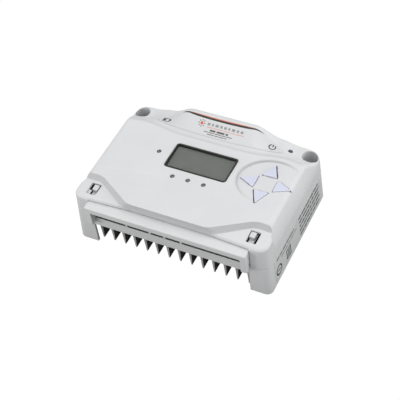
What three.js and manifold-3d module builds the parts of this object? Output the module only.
// Solar charge controller: a two-shell wall-mounted electronics case on a finned heat sink.
// Millimetres. +Z points away from the wall and z = 0 is the mounting plane. X is the long side.
// Front is the wiring edge at -Y, rear is the label edge at +Y, left is -X and right is +X.

import * as THREE from 'three';
import { mergeVertices } from 'three/addons/utils/BufferGeometryUtils.js';
import Module from 'manifold-3d';

const wasm = await Module();
wasm.setup();

const { clamp, smoothstep, mapLinear } = THREE.MathUtils;

// ---------------------------------------------------------------- driving dimensions
// Pairs in brackets are ranges [from, to] or places [x, y].
const CASE_HALF_X = 76.5;      // half length at the wall
const CASE_FRONT_Y = -47.5;    // front faces of the corner posts
const CASE_REAR_Y = 56;
const COVER_FRONT_Y = -52.5;   // front face of the wire cover
const CENTRING_Y = -(CASE_REAR_Y + COVER_FRONT_Y) / 2;   // centres the finished object
const PARTING_Z = 26;          // joint between lower and upper shell
const PANEL_Z = 50.15;         // front edge of the keypad and display panel
const PANEL_SLOPE = 0.02;      // the panel falls slightly towards the label hump
const PANEL_SLOPE_Y = -26;     // where that fall begins
const HUMP_Z = 55;             // top of the raised label hump near the rear edge
const RECESS_Z = 46;           // floor of the front corner recesses
const WALL = 2.4;
const GAP = 0.3;               // working clearance between pieces
const DRAFT = 0.045;           // wall draft, mm per mm
const FRONT_CORNER_R = 4.8;
const REAR_CORNER_R = 8.4;
const LEG_X = 60.7;            // inner face of the side legs
const BEAM_Z = [19.6, 27.7];   // front beam; the floor underside is level with its bottom
const WELL_X = 67.63;          // rear mounting wells
const WELL_Y = 48.2;
const WELL_R = 5.7;
const WELL_TUBE_R = 6.9;
const WELL_SEGMENTS = 28;
const SEAT_Z = 6;              // mounting screw seats
const MOUNT_HOLE_R = 2.6;
const CASE_SCREWS = [[-69.3, 20], [69.3, 20], [-69.3, -16], [69.3, -16]];
const SCREW_BORE_R = 1.85;
const LCD_X = [-23.2, 25.4];   // display opening
const LCD_Y = [-2.6, 21.1];
const LIGHTS = [[-32.6, 9.3], [-12.5, -9.4], [-0.4, -9.4], [11.7, -9.4]];
const SENSOR = [53.2, 47];     // ambient temperature sensor
const COVER_HALF_X = 62;
const COVER_TOP_Z = 42.8;
const WAYS = 6;                // power terminals
const WAY_PITCH = 12.7;
const BOARD_Z = [28.6, 30.2];  // main board
const THROUGH_TOP = [40, 60];  // height range of cuts through the panel
const SIDES = [-1, 1];

// ---------------------------------------------------------------- materials
const material = (settings) => new THREE.MeshStandardMaterial(settings);
const SHELL = material({ color: 0xe2e4e4, roughness: 0.55 });
const KEY_PLASTIC = material({ color: 0xd8dcf2, roughness: 0.5 });
const BLACK = material({ color: 0x1c1d1e, roughness: 0.6 });
const SINK_METAL = material({ color: 0x2a2b2d, roughness: 0.5, metalness: 0.6 });
const CIRCUIT_BOARD = material({ color: 0x1f5a38, roughness: 0.55 });
const STEEL = material({ color: 0xb9bcbf, roughness: 0.35, metalness: 1 });
const TERMINAL_PLASTIC = material({ color: 0x22262a, roughness: 0.6 });
const WINDOW = material({ color: 0x8d9590, roughness: 0.15 });
const LCD_GLASS = material({ color: 0x747a76, roughness: 0.3 });
const LABEL = material({ color: 0xe6e7e8, roughness: 0.45 });
const LIGHT_PIPE = material({ color: 0x6d7276, roughness: 0.3 });
const LED = material({ color: 0xdfe6c8, roughness: 0.4 });
const CAPACITOR = material({ color: 0x20242c, roughness: 0.4 });
const BACKLIGHT = material({ color: 0x9da1a3, roughness: 0.6 });
const SENSOR_BEAD = material({ color: 0x27506e, roughness: 0.4 });
const SENSE_GREEN = material({ color: 0x2e7a45, roughness: 0.5 });
const DIP_RED = material({ color: 0xb23a2e, roughness: 0.5 });
const DIP_WHITE = material({ color: 0xf0f0ee, roughness: 0.5 });
const THERMAL_PAD = material({ color: 0xa9b7c4, roughness: 0.8 });

// ---------------------------------------------------------------- helpers
const root = new THREE.Group();

const around = (centre, half) => [centre - half, centre + half];
const grow = ([from, to], margin) => [from - margin, to + margin];
const onSide = (side, [from, to]) => (side > 0 ? [from, to] : [-to, -from]);
const mirrored = (points) => points.map(([x, y]) => [-x, y]).reverse();

// welds a three.js geometry into a closed solid
function solid(geometry) {
  let welded = geometry.index ? geometry.toNonIndexed() : geometry.clone();
  for (const key of Object.keys(welded.attributes)) {
    if (key !== 'position') welded.deleteAttribute(key);
  }
  welded = mergeVertices(welded, 1e-4);
  const source = welded.index.array;
  const triangles = [];
  for (let i = 0; i < source.length; i += 3) {
    const [a, b, c] = [source[i], source[i + 1], source[i + 2]];
    if (a !== b && b !== c && a !== c) triangles.push(a, b, c);
  }
  return new wasm.Manifold(new wasm.Mesh({
    numProp: 3,
    vertProperties: new Float32Array(welded.attributes.position.array),
    triVerts: new Uint32Array(triangles),
  }));
}

function addPart(name, body, finish) {
  const { vertProperties, triVerts } = body.translate([0, CENTRING_Y, 0]).getMesh();
  const geometry = new THREE.BufferGeometry();
  const positions = new THREE.BufferAttribute(new Float32Array(vertProperties), 3);
  geometry.setAttribute('position', positions);
  geometry.setIndex(new THREE.BufferAttribute(new Uint32Array(triVerts), 1));
  geometry.computeVertexNormals();
  const mesh = new THREE.Mesh(geometry, finish);
  mesh.name = name;
  root.add(mesh);
}

const box = ([x0, x1], [y0, y1], [z0, z1]) =>
  solid(new THREE.BoxGeometry(x1 - x0, y1 - y0, z1 - z0)
    .translate((x0 + x1) / 2, (y0 + y1) / 2, (z0 + z1) / 2));

const cylinder = ([x, y], [z0, z1], radius, segments) =>
  solid(new THREE.CylinderGeometry(radius, radius, z1 - z0, segments)
    .rotateX(Math.PI / 2).translate(x, y, (z0 + z1) / 2));

const polygon = (points) => new THREE.Shape(points.map(([x, y]) => new THREE.Vector2(x, y)));

function roundedRect([x0, x1], [y0, y1], r) {
  const shape = new THREE.Shape();
  shape.moveTo(x0 + r, y0).lineTo(x1 - r, y0);
  shape.absarc(x1 - r, y0 + r, r, -Math.PI / 2, 0, false).lineTo(x1, y1 - r);
  shape.absarc(x1 - r, y1 - r, r, 0, Math.PI / 2, false).lineTo(x0 + r, y1);
  shape.absarc(x0 + r, y1 - r, r, Math.PI / 2, Math.PI, false).lineTo(x0, y0 + r);
  shape.absarc(x0 + r, y0 + r, r, Math.PI, Math.PI * 1.5, false);
  return shape;
}

const extrusion = (shape, depth, curveSegments) =>
  new THREE.ExtrudeGeometry(shape, { depth, bevelEnabled: false, curveSegments });

const prism = (shape, [z0, z1], segments = 5) =>
  solid(extrusion(shape, z1 - z0, segments).translate(0, 0, z0));

// profile in (X, Z)
const alongY = (shape, [y0, y1], segments = 5) =>
  solid(extrusion(shape, y1 - y0, segments).rotateX(Math.PI / 2).translate(0, y1, 0));

// profile in (Y, Z)
const alongX = (points, [x0, x1]) =>
  solid(extrusion(polygon(points), x1 - x0, 5)
    .rotateX(Math.PI / 2).rotateZ(Math.PI / 2).translate(x0, 0, 0));

// closed skin through stacked rings of equal point count
function loft(rings) {
  const count = rings[0].length;
  const index = [];
  for (let k = 0; k + 1 < rings.length; k++) {
    for (let i = 0; i < count; i++) {
      const a = k * count + i;
      const b = k * count + (i + 1) % count;
      index.push(a, b, b + count, a, b + count, a + count);
    }
  }
  const outline = rings[0].map(([x, y]) => new THREE.Vector2(x, y));
  const top = (rings.length - 1) * count;
  for (const [a, b, c] of THREE.ShapeUtils.triangulateShape(outline, [])) {
    index.push(a, c, b, top + a, top + b, top + c);
  }
  const geometry = new THREE.BufferGeometry();
  const positions = new Float32Array(rings.flat(2));
  geometry.setAttribute('position', new THREE.BufferAttribute(positions, 3));
  geometry.setIndex(index);
  return solid(geometry);
}

function roundedRing([x0, x1], [y0, y1], frontR, rearR, z) {
  const steps = 6;
  const corners = [            // centre x, centre y, start angle in degrees, radius
    [x1 - frontR, y0 + frontR, -90, frontR],
    [x1 - rearR, y1 - rearR, 0, rearR],
    [x0 + rearR, y1 - rearR, 90, rearR],
    [x0 + frontR, y0 + frontR, 180, frontR],
  ];
  const ring = [];
  for (const [cx, cy, start, radius] of corners) {
    for (let i = 0; i <= steps; i++) {
      const angle = (start + (90 * i) / steps) * Math.PI / 180;
      ring.push([cx + radius * Math.cos(angle), cy + radius * Math.sin(angle), z]);
    }
  }
  return ring;
}

// a block whose top follows height(x, y) at the grid stations
function heightBlock(xs, ys, height, z0) {
  const geometry = new THREE.BoxGeometry(1, 1, 1, xs.length - 1, ys.length - 1, 1);
  const grid = geometry.attributes.position;
  for (let i = 0; i < grid.count; i++) {
    const x = xs[Math.round((grid.getX(i) + 0.5) * (xs.length - 1))];
    const y = ys[Math.round((grid.getY(i) + 0.5) * (ys.length - 1))];
    grid.setXYZ(i, x, y, grid.getZ(i) > 0 ? height(x, y) : z0);
  }
  return solid(geometry);
}

// linear between the rows of a table that starts at 0, level past its end
function interpolate(table, x) {
  const next = table.findIndex(([end]) => end > x);
  if (next < 0) return table.at(-1)[1];
  const [x0, y0] = table[next - 1];
  const [x1, y1] = table[next];
  return mapLinear(x, x0, x1, y0, y1);
}

// how far a quarter round of this radius has dropped at a distance from its crown
const arcDrop = (radius, distance) => radius - Math.sqrt(radius ** 2 - distance ** 2);

// ---------------------------------------------------------------- outside of the case
// the drafted outer walls, moved in by inset; the front corners widen with height
function caseWalls(z0, z1, inset = 0) {
  return loft([z0, z1].map((z) => {
    const draft = DRAFT * z;
    const halfX = CASE_HALF_X - draft - inset;
    const ys = [CASE_FRONT_Y + draft * 0.5 + inset, CASE_REAR_Y - draft * 0.15 - inset];
    const frontR = FRONT_CORNER_R + 0.05 * z - inset;
    return roundedRing([-halfX, halfX], ys, frontR, REAR_CORNER_R - inset, z);
  }));
}

// soft step behind the display: distance from the centre line, y
const STEP_LINE = [[0, 30.8], [28, 30.9], [38, 32.2], [47, 34.2], [56, 35], [66, 33.4], [76, 32]];
const STEP_HALF = 1.9;
const STEP_DROP = 1.6;
// rear edge without the hump: distance from the centre line, z
const REAR_EDGE = [
  [0, 44.6], [44, 44.6], [50, 43.5], [57, 42.5], [64, 41.9], [76, 41.3],
];
const RIDGE_Y = 49.5;          // crest of the hump
const HUMP_EDGE_X = [25.2, 44.2];   // the hump fades out between these
const CORNER_BLEND_X = [47, 61];    // the centre gives way to the rear corners
const CORNER_FALL = { startsBefore: 2.5, endY: 46.5, endZ: 41.5, sideX: 62, sideSlope: 0.12 };
const SHOULDER_X = 65;
const SHOULDER_R = 9.6;

const panelZ = (y) => PANEL_Z - PANEL_SLOPE * Math.max(0, y - PANEL_SLOPE_Y);

// panel, side shoulders, soft step, label hump and falling rear corners
function topZ(x, y) {
  const side = Math.abs(x);
  const shoulder = arcDrop(SHOULDER_R, clamp(side - SHOULDER_X, 0, SHOULDER_R - 0.3));
  const stepY = interpolate(STEP_LINE, side);
  const footY = stepY + STEP_HALF;
  const panel = panelZ(Math.min(y, footY));

  const hump = 1 - smoothstep(side, ...HUMP_EDGE_X);
  const edgeZ = interpolate(REAR_EDGE, side);
  const ridgeZ = edgeZ + (HUMP_Z - edgeZ) * hump;
  const rise = clamp((y - footY) / (RIDGE_Y - footY), 0, 1);
  const step = smoothstep(y, stepY - STEP_HALF, footY) * STEP_DROP;
  const centre = panel - step + (ridgeZ - panelZ(footY) + STEP_DROP) * rise;

  const { startsBefore, endY, endZ, sideX, sideSlope } = CORNER_FALL;
  const fall = smoothstep(y, stepY - startsBefore, endY);
  const cornerDrop = panelZ(footY) - endZ + sideSlope * Math.max(0, side - sideX);
  const corner = panel - cornerDrop * fall;

  const blend = smoothstep(side, ...CORNER_BLEND_X);
  const rearR = 2 + 4.5 * hump;
  const overRear = clamp(y - CASE_REAR_Y + rearR, 0, rearR * 0.985);
  return centre * (1 - blend) + corner * blend - shoulder * (1 - fall) - arcDrop(rearR, overRear);
}

// grid stations of the outside and of the cavity
const bothWays = (xs) => [...xs.map((x) => -x).reverse(), 0, ...xs];
const OUTER_XS = bothWays([12, 26, 29, 32, 35, 38, 41, 44, 47, 51, 55, 59, 63, 66.5, 69.5,
  71.8, 73.3, 74.3, 78]);
const OUTER_YS = [-60, -26, 28, 29.4, 30.8, 32.2, 33.6, 35.2, 37, 39, 41.2, 43.4, 45.6, 47.6,
  49.5, 51.2, 52.6, 53.7, 54.5, 55.2, 55.8, 58];
const INNER_XS = bothWays([26, 33, 40, 47, 54, 61, 66.5, 69.5, 72, 78]);
const INNER_YS = [-60, -26, 28, 31, 34, 37.5, 41, 45, 49.5, 52, 54, 58];

// left half of the recess edge: x, y at PANEL_Z; x, y at RECESS_Z; share of the inset taken in x
const RECESS_EDGE = [
  [-90, -27.6, -90, -30, 0],
  [-59.6, -26.3, -59.1, -28.8, 0],
  [-29.9, -43.9, -34.6, -45.3, 0.35],
];

// cuts the recessed front corners and the sloping panel front
function recessCut(inset, floorZ) {
  const ring = (z, depth) => {
    const half = RECESS_EDGE.map(([topX, topY, lowX, lowY, share]) => [
      topX + (lowX - topX) * depth + inset * share,
      topY + (lowY - topY) * depth + inset,
    ]);
    const outline = [...half, ...mirrored(half), [90, -70], [-90, -70]];
    return outline.map(([x, y]) => [x, y, z]).reverse();
  };
  const floorDepth = (PANEL_Z - floorZ) / (PANEL_Z - RECESS_Z);
  return loft([ring(floorZ, floorDepth), ring(PANEL_Z, 0), ring(70, 0)]);
}

const FRONT_BEVEL = [          // y, z
  [-44.3, RECESS_Z + 0.01], [-48.6, 41.9], [-60, 41.9], [-60, 60], [-44.3, 60],
];
const SIDE_BEVEL = [[71.9, 70], [71.9, RECESS_Z], [76, 41], [90, 41], [90, 70]];   // x, z

function upperOutside() {
  const z0 = PARTING_Z + 0.2;
  let body = heightBlock(OUTER_XS, OUTER_YS, topZ, z0).intersect(caseWalls(z0, 62));
  body = body.subtract(recessCut(0, RECESS_Z)).subtract(alongX(FRONT_BEVEL, [-90, 90]));
  for (const side of SIDES) {
    const bevel = SIDE_BEVEL.map(([x, z]) => [side * x, z]);
    body = body.subtract(alongY(polygon(bevel), [-70, -29.4]));
  }
  return body;
}
const OUTSIDE = upperOutside();

function upperCavity() {
  const z0 = PARTING_Z - 1;
  const ceiling = (x, y) => Math.min(topZ(x, y), 52) - WALL - (y > 30 ? 0.4 : 0);
  return heightBlock(INNER_XS, INNER_YS, ceiling, z0)
    .intersect(caseWalls(z0, 62, WALL))
    .subtract(recessCut(2.6, RECESS_Z - 2.3));
}

const wellPair = (radius, zs, segments = WELL_SEGMENTS) =>
  cylinder([WELL_X, WELL_Y], zs, radius, segments)
    .add(cylinder([-WELL_X, WELL_Y], zs, radius, segments));

// ---------------------------------------------------------------- keypad outlines
const KEYPAD = [51.6, 6.9];    // centre
// base and tip distances from the keypad centre, half base width
const KEY = { base: 7.35, tip: 18.9, halfBase: 5.5, cornerR: 0.9, topZ: 50.3 };

// a point by quarter turns from +Y, distance across and distance out from the centre
function keypadPoint(turn, across, out) {
  const angle = turn * Math.PI / 2;
  return [
    KEYPAD[0] + across * Math.cos(angle) - out * Math.sin(angle),
    KEYPAD[1] + across * Math.sin(angle) + out * Math.cos(angle),
  ];
}

// isosceles key with rounded corners, its tip pointing away from the keypad centre
function keyOutline(turn, margin) {
  const halfBase = KEY.halfBase + margin * 1.5;
  const base = KEY.base - margin;
  const corners = [[-halfBase, base], [halfBase, base], [0, KEY.tip + margin * 2.1]]
    .map(([across, out]) => new THREE.Vector2(...keypadPoint(turn, across, out)));
  return new THREE.Shape(corners.flatMap((corner, i) => {
    const back = corners[(i + 2) % 3].clone().sub(corner).normalize();
    const ahead = corners[(i + 1) % 3].clone().sub(corner).normalize();
    const trim = (KEY.cornerR + margin) / Math.tan(Math.acos(back.dot(ahead)) / 2);
    const start = corner.clone().addScaledVector(back, trim);
    const end = corner.clone().addScaledVector(ahead, trim);
    return new THREE.QuadraticBezierCurve(start, corner, end).getPoints(4);
  }));
}

// ---------------------------------------------------------------- upper case
const PANEL_POSTS = [[-42, 26.6], [42, 28.6], [-42, -12.5], [30, -15.5]];
const DISH = { x: 53.9, y: 9.35, radiusX: 24.3, radiusY: 20.65, tiltX: -0.0465, tiltY: -0.04 };
const LATCH_WINDOW = { x: 61.6, y: -36.9, halfX: 3.8, halfY: 5.2 };

// shallow oval dish round the keys: deepest at its rear left, running out at the front right
function keypadDish() {
  const { x, y, radiusX, radiusY, tiltX, tiltY } = DISH;
  return solid(new THREE.CylinderGeometry(1, 1, 10, 64).rotateX(Math.PI / 2)
    .scale(radiusX, radiusY, 1).translate(0, 0, 5)
    .rotateX(tiltX).rotateY(tiltY).translate(x, y, panelZ(y) - 0.15));
}

function upperCase() {
  const z0 = PARTING_Z + 0.2;
  let body = OUTSIDE.subtract(upperCavity());
  body = body.add(wellPair(WELL_TUBE_R, [z0, 60]).intersect(OUTSIDE));
  for (const place of CASE_SCREWS) {
    body = body.add(cylinder(place, [z0, 37], 4, 16).intersect(OUTSIDE));
  }
  // partition between the wiring bay and the electronics
  body = body.add(box([-58, 58], [-29.2, -27.4], [41.6, 48.6]));
  for (const place of PANEL_POSTS) body = body.add(cylinder(place, [41.3, 48.2], 2.6, 12));

  body = body.subtract(wellPair(WELL_R, [PARTING_Z - 2, 70]));
  for (const place of CASE_SCREWS) {
    body = body.subtract(cylinder(place, [PARTING_Z - 1, 35], SCREW_BORE_R, 12));
  }
  const coverX = COVER_HALF_X + GAP;
  body = body.subtract(box([-coverX, coverX], [-60, -40.4], [PARTING_Z - 1, COVER_TOP_Z + GAP]));
  body = body.subtract(prism(roundedRect(LCD_X, LCD_Y, 2.4), THROUGH_TOP));
  for (const place of LIGHTS) body = body.subtract(cylinder(place, THROUGH_TOP, 1.75, 16));
  body = body.subtract(keypadDish());
  for (let turn = 0; turn < 4; turn++) {
    body = body.subtract(prism(keyOutline(turn, 0.35), THROUGH_TOP));
  }
  for (const side of SIDES) {
    const { x, y, halfX, halfY } = LATCH_WINDOW;
    const outline = roundedRect(around(side * x, halfX), around(y, halfY), 0.5);
    body = body.subtract(prism(outline, [38, 60], 3));
  }
  return body.subtract(cylinder(SENSOR, [38, 60], 1.7, 14));
}

// ---------------------------------------------------------------- lower case
const FRONT_MOUNT = { x: 68.2, y: -27, tubeR: 5.6, wellR: 4.4 };   // in the side legs

// the open space between the legs, with rounded upper corners
function legTunnel() {
  const radius = 2.5;
  const x = LEG_X - radius;
  const z = BEAM_Z[0] - radius;
  const shape = new THREE.Shape();
  shape.moveTo(-LEG_X, -5).lineTo(LEG_X, -5).lineTo(LEG_X, z);
  shape.absarc(x, z, radius, 0, Math.PI / 2, false).lineTo(-x, BEAM_Z[0]);
  shape.absarc(-x, z, radius, Math.PI / 2, Math.PI, false);
  return alongY(shape, [-70, 70]);
}

// front beam, its top sloping down to the inside
function frontBeam() {
  const [z0, z1] = BEAM_Z;
  const y0 = CASE_FRONT_Y + 0.1;
  const profile = [[y0, z0], [y0, z1], [-46.8, z1], [-45, 25.6], [-45, z0]];
  return alongX(profile, around(0, COVER_HALF_X - 0.1));
}

function lowerCase() {
  let body = caseWalls(0, PARTING_Z).subtract(legTunnel());
  body = body.subtract(caseWalls(22, PARTING_Z + 3, WALL + 0.2));
  for (const side of SIDES) {
    body = body.subtract(box(onSide(side, [LEG_X + WALL, 73.4]), [-31.1, 52.5], [3, 30]));
    // behind each front post the leg is open to below
    const behindPost = onSide(side, [LEG_X - 1, 73.6]);
    body = body.subtract(box(behindPost, [-45.1, -33.5], [-1, BEAM_Z[0]]));
  }
  body = body.subtract(box([-57.9, 57.9], [-42.9, 51.7], [15, 30])).add(frontBeam());
  body = body.add(wellPair(WELL_TUBE_R, [0, PARTING_Z]).intersect(caseWalls(0, PARTING_Z)));
  for (const side of SIDES) {
    const place = [side * FRONT_MOUNT.x, FRONT_MOUNT.y];
    body = body.add(cylinder(place, [0, 22], FRONT_MOUNT.tubeR, 20));
    body = body.subtract(cylinder(place, [SEAT_Z, 40], FRONT_MOUNT.wellR, 20));
    body = body.subtract(cylinder(place, [-5, 40], MOUNT_HOLE_R, 16));
  }
  for (const place of CASE_SCREWS) {
    body = body.add(cylinder(place, [0, PARTING_Z], 4.3, 16));
    body = body.subtract(cylinder(place, [-5, 8], 3.4, 16));
    body = body.subtract(cylinder(place, [-5, 40], SCREW_BORE_R, 12));
  }
  return body.subtract(wellPair(WELL_R, [SEAT_Z, 40]))
    .subtract(wellPair(MOUNT_HOLE_R, [-5, 40], 16));
}

// ---------------------------------------------------------------- heat sink
const FINS = { count: 14, pitch: 8.955, rootZ: 16.8, tipZ: 1, rootHalf: 1.15, tipHalf: 0.45 };
const SINK_SHELF_Z = 19.2;
const SINK_EDGE = [[60.2, FINS.rootZ], [60.2, 17.6], [58.9, SINK_SHELF_Z]];   // right edge: x, z
const SINK_PLATEAU = [[57.5, SINK_SHELF_Z], [57.5, 23], [-57.5, 23], [-57.5, SINK_SHELF_Z]];

function heatSink() {
  const { count, pitch, rootZ, tipZ, rootHalf, tipHalf } = FINS;
  const fins = [];
  for (let i = 0; i < count; i++) {
    const x = (i - (count - 1) / 2) * pitch;
    fins.push([x - rootHalf, rootZ], [x - tipHalf, tipZ]);
    fins.push([x + tipHalf, tipZ], [x + rootHalf, rootZ]);
  }
  const profile = [...mirrored(SINK_EDGE), ...fins, ...SINK_EDGE, ...SINK_PLATEAU];
  return alongY(polygon(profile), [-43.2, 51.4])
    .subtract(box([-70, 70], [-50, -42.5], [SINK_SHELF_Z, 30]));
}

// ---------------------------------------------------------------- wire cover
const SKIRT_Z = 24.4;
const LIP_Z = 37.4;
const CHEEK_WIDTH = 4.4;
// profiles: y, z
const COVER_TOP = [
  [-41.2, 40.6], [-41.2, COVER_TOP_Z], [-51.7, 42.2], [-52.3, 41.9], [COVER_FRONT_Y, 41.4],
];
const COVER_LIP = [
  ...COVER_TOP, [COVER_FRONT_Y, LIP_Z], [-50.3, LIP_Z], [-50.3, 40], [-48, 40.6],
];
const COVER_CHEEK = [
  [-47.8, SKIRT_Z], [-47.8, 28.2], [-44.7, 28.2], [-44.7, 30.6], [-42.4, 30.6], [-42.4, 40.6],
  ...COVER_TOP, [COVER_FRONT_Y, SKIRT_Z + 0.8], [-51.7, SKIRT_Z],
];

function wireCover() {
  let body = alongX(COVER_LIP, [-COVER_HALF_X, COVER_HALF_X]);
  for (const side of SIDES) {
    const xs = onSide(side, [COVER_HALF_X - CHEEK_WIDTH, COVER_HALF_X]);
    body = body.add(alongX(COVER_CHEEK, xs));
  }
  // ribs between the ways
  for (let i = 0; i <= WAYS; i++) {
    const xs = around((i - WAYS / 2) * WAY_PITCH, 0.6);
    body = body.add(box(xs, [-50.8, -47.9], [29.2, 40.8]));
  }
  return body;
}

// spring finger under a latch window
function latchTab(x) {
  const xs = around(x, 2);
  return box(xs, [-37, -32.3], [40.2, 45.4])
    .add(box(xs, [-40.1, -36.5], [40.2, 42.2]))
    .add(box(xs, [-33, -22.6], [39.6, 41]))
    .add(box(xs, [-24.2, -22.6], [39.6, 43.2]));
}

// ---------------------------------------------------------------- display stack
const lcdPrism = (margin, radius, zs) =>
  prism(roundedRect(grow(LCD_X, margin), grow(LCD_Y, margin), radius), zs);

const lcdFrame = () => lcdPrism(-GAP, 2.1, [43.3, 49.9])
  .add(lcdPrism(2.4, 1, [45.4, 46.2]))
  .subtract(lcdPrism(-1.2, 1.3, [47.4, 60]))
  .subtract(lcdPrism(-2, 0.8, THROUGH_TOP));

const lcdLayer = (marginY, zs) => box(grow(LCD_X, 1.5), grow(LCD_Y, marginY), zs);

// notched round the two case screw posts on the right
const displayBoard = () => prism(roundedRect([-46, 71.2], [-15.5, 31.5], 1.5), [39.5, 41.1], 3)
  .subtract(box([64.6, 80], [-20, -11.6], [35, 45]))
  .subtract(box([64.6, 80], [15.4, 24.6], [35, 45]));

// ---------------------------------------------------------------- keys and switches
const SWITCH_OUT = 11;         // distance of the switches from the keypad centre
const KEY_FLANGE = [[-6.4, 6.5], [6.4, 6.5], [4.9, 11], [-4.9, 11]];   // across, out

function keyButton(turn) {
  const flange = KEY_FLANGE.map(([across, out]) => keypadPoint(turn, across, out));
  return prism(keyOutline(turn, 0), [45.4, KEY.topZ])
    .add(prism(polygon(flange), [45.2, 46]))
    .add(cylinder(keypadPoint(turn, 0, SWITCH_OUT), [43.9, 46], 1.6, 12))
    .intersect(OUTSIDE.translate([0, 0, 1.4]));
}

function keySwitch(turn) {
  const [x, y] = keypadPoint(turn, 0, SWITCH_OUT);
  return box(around(x, 3), around(y, 3), [41.3, 42.3])
    .add(cylinder([x, y], [42, 42.9], 1.7, 12));
}

// ---------------------------------------------------------------- indicators and sensor
const lightPipe = ([x, y]) => cylinder([x, y], [44.2, panelZ(y) - 0.1], 1.45, 16)
  .add(cylinder([x, y], [45.4, 46.5], 2.3, 16));

const led = ([x, y]) => box(around(x, 1.6), around(y, 1), [41.3, 42.6])
  .add(cylinder([x, y], [42.3, 43.8], 0.95, 12));

// a bead just below the hole, on a stem from the main board
function temperatureSensor() {
  const [x, y] = SENSOR;
  const z = topZ(x, y) - 1.3;
  return solid(new THREE.SphereGeometry(1.25, 14, 10).translate(x, y, z))
    .add(box(around(x, 0.5), around(y, 0.4), [BOARD_Z[1], z]));
}

// ---------------------------------------------------------------- main board and its parts
const fromBoard = (top) => [BOARD_Z[1] + 0.1, top];
const wayX = (i) => (i - (WAYS - 1) / 2) * WAY_PITCH;
const TERMINAL_SCREW_Y = -38.6;

const mainBoard = () => prism(roundedRect([-63.8, 63.8], [-44.2, 40.2], 1.5), BOARD_Z, 3)
  .add(box([49.4, 57], [40, 49], BOARD_Z))
  .subtract(box(around(SENSOR[0], 0.8), around(SENSOR[1], 0.7), [20, 40]));

function terminalBlock() {
  const half = WAYS / 2 * WAY_PITCH;
  let body = box([-half, half], [-43.6, -31], fromBoard(40));
  body = body.subtract(box([-half + 1, half - 1], [-34.4, -30], [35.4, 50]));
  for (let i = 0; i < WAYS; i++) {
    const wireEntry = roundedRect(around(wayX(i), 4.2), [31.2, 37], 1);
    body = body.subtract(alongY(wireEntry, [-44.6, -34.6], 3));
    body = body.subtract(cylinder([wayX(i), TERMINAL_SCREW_Y], [33, 50], 3.3, 16));
  }
  return body;
}

const terminalScrew = (x) => cylinder([x, TERMINAL_SCREW_Y], [34.4, 39.4], 2.9, 16)
  .subtract(box(around(x, 0.5), [-42, -35], [38.4, 41]));

function senseTerminalBlock() {
  let body = box([40.4, 49], [-43.4, -34.6], fromBoard(38.6));
  for (const x of [42.7, 46.7]) {
    body = body.subtract(box(around(x, 1.4), [-50, -36.6], [31.4, 34.6]));
    body = body.subtract(cylinder([x, -39.6], [33, 50], 1.3, 12));
  }
  return body;
}

const meterPortJack = () => box([-55.6, -42.2], [-43.4, -29.8], fromBoard(39.6))
  .subtract(box([-53.9, -43.9], [-50, -32.2], [32.2, 37.9]))
  .subtract(box([-51.2, -46.6], [-50, -40], [37, 38.9]));

const dipSwitchBody = () => box([51, 57.2], [-43.2, -31.2], fromBoard(34.4))
  .subtract(box([52.6, 55.6], [-42.2, -32.2], [33, 40]));

const dipSlider = (i) => box([52.9, 54], around(-40.9 + i * 2.46, 0.6), [33.2, 35]);

const capacitor = (y) => cylinder([-55.2, y], fromBoard(44.5), 7.2, 24);

// body and a thinner tab with a hole
function mosfet(x) {
  const xs = around(x, 5);
  return box(xs, [-7.5, 1.5], [23.7, 26.9])
    .add(box(xs, [1.3, 7.5], [23.7, 25]))
    .subtract(cylinder([x, 4.6], [20, 30], 1.8, 12));
}

// cross-slotted screw driven from the wall side
function caseScrew([x, y]) {
  const slotZ = [4, 6.6];
  return cylinder([x, y], [5.2, 7.8], 3, 16)
    .add(cylinder([x, y], [7.5, 33.5], 1.5, 12))
    .subtract(box(around(x, 0.45), around(y, 1.9), slotZ))
    .subtract(box(around(x, 1.9), around(y, 0.45), slotZ));
}

// ---------------------------------------------------------------- labels
// right half of the front label outline, x, y: rear edge inwards, then front edge outwards
const LABEL_REAR = [
  [50.3, 41.7], [49.4, 43], [46.8, 44.9], [43.6, 46.9], [40.3, 48.1], [36.3, 48.9],
  [32, 49.2], [26, 48.8], [12, 48.7],
];
const LABEL_FRONT = [
  [14, 35.2], [25, 35.6], [33, 36.4], [38, 37.3], [43, 38.4], [48.2, 39.6], [49.8, 40.4],
];

// thin film following the top of the shell
function frontLabel() {
  const outline = [
    ...LABEL_REAR, ...mirrored(LABEL_REAR), ...mirrored(LABEL_FRONT), ...LABEL_FRONT,
  ];
  return OUTSIDE.translate([0, 0, 0.32]).subtract(OUTSIDE.translate([0, 0, 0.12]))
    .intersect(prism(polygon(outline), [40, 70]));
}

// thin film on the drafted right wall
function sideLabel() {
  const [z0, z1] = [3.8, 24.6];
  const offWall = (z, distance) => [CASE_HALF_X - DRAFT * z + distance, z];
  const profile = [offWall(z0, 0.05), offWall(z0, 0.17), offWall(z1, 0.17), offWall(z1, 0.05)];
  return alongY(polygon(profile), [-37.5, 46.5]);
}

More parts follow.
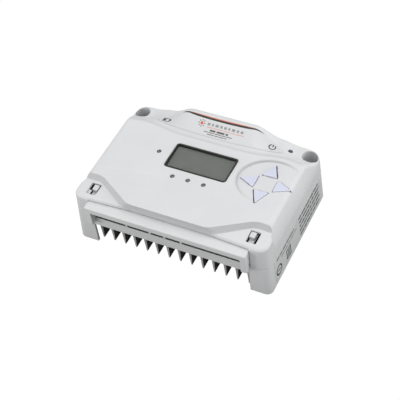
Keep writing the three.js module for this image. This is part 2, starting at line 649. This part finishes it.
// ---------------------------------------------------------------- assembly
addPart('upper_case', upperCase(), SHELL);
addPart('lower_case', lowerCase(), SHELL);
addPart('heatsink', heatSink(), SINK_METAL);
addPart('wire_cover', wireCover(), SHELL);
addPart('left_latch_tab', latchTab(-61.1), SHELL);
addPart('right_latch_tab', latchTab(60.4), SHELL);
addPart('lcd_frame', lcdFrame(), BLACK);
addPart('lcd_window', lcdPrism(-1.4, 1.1, [47.5, 48.3]), WINDOW);
addPart('lcd_glass', lcdLayer(1.8, [41.9, 43.1]), LCD_GLASS);
addPart('lcd_backlight', lcdLayer(1.2, [41.2, 41.8]), BACKLIGHT);
addPart('display_board', displayBoard(), CIRCUIT_BOARD);
['up', 'left', 'down', 'right'].forEach((name, turn) => {
  addPart(`${name}_button`, keyButton(turn), KEY_PLASTIC);
  addPart(`${name}_switch`, keySwitch(turn), BLACK);
});
LIGHTS.forEach((place, i) => {
  const [group, number] = i === 0 ? ['charge', ''] : ['battery', `_${i}`];
  addPart(`${group}_light_pipe${number}`, lightPipe(place), LIGHT_PIPE);
  addPart(`${group}_led${number}`, led(place), LED);
});
addPart('temperature_sensor', temperatureSensor(), SENSOR_BEAD);
addPart('main_board', mainBoard(), CIRCUIT_BOARD);
addPart('terminal_block', terminalBlock(), TERMINAL_PLASTIC);
for (let i = 0; i < WAYS; i++) {
  addPart(`terminal_screw_${i + 1}`, terminalScrew(wayX(i)), STEEL);
}
addPart('sense_terminal_block', senseTerminalBlock(), SENSE_GREEN);
addPart('meter_port_jack', meterPortJack(), BLACK);
addPart('dip_switch_body', dipSwitchBody(), DIP_RED);
for (let i = 0; i < 4; i++) addPart(`dip_slider_${i + 1}`, dipSlider(i), DIP_WHITE);
addPart('capacitor_1', capacitor(4), CAPACITOR);
addPart('capacitor_2', capacitor(21), CAPACITOR);
addPart('board_connector', box([-40, -28], [24, 28], fromBoard(39.4)), BLACK);
addPart('thermal_pad', box([-46, 46], [-9.5, 9.5], [23.1, 23.6]), THERMAL_PAD);
for (let i = 0; i < 4; i++) addPart(`mosfet_${i + 1}`, mosfet((i - 1.5) * 24), BLACK);
addPart('mosfet_clamp_bar', box([-44, 44], [-5.4, -1.2], [27, 28.3]), STEEL);
CASE_SCREWS.forEach((place, i) => addPart(`case_screw_${i + 1}`, caseScrew(place), STEEL));
addPart('front_label', frontLabel(), LABEL);
addPart('side_label', sideLabel(), LABEL);

export default root;
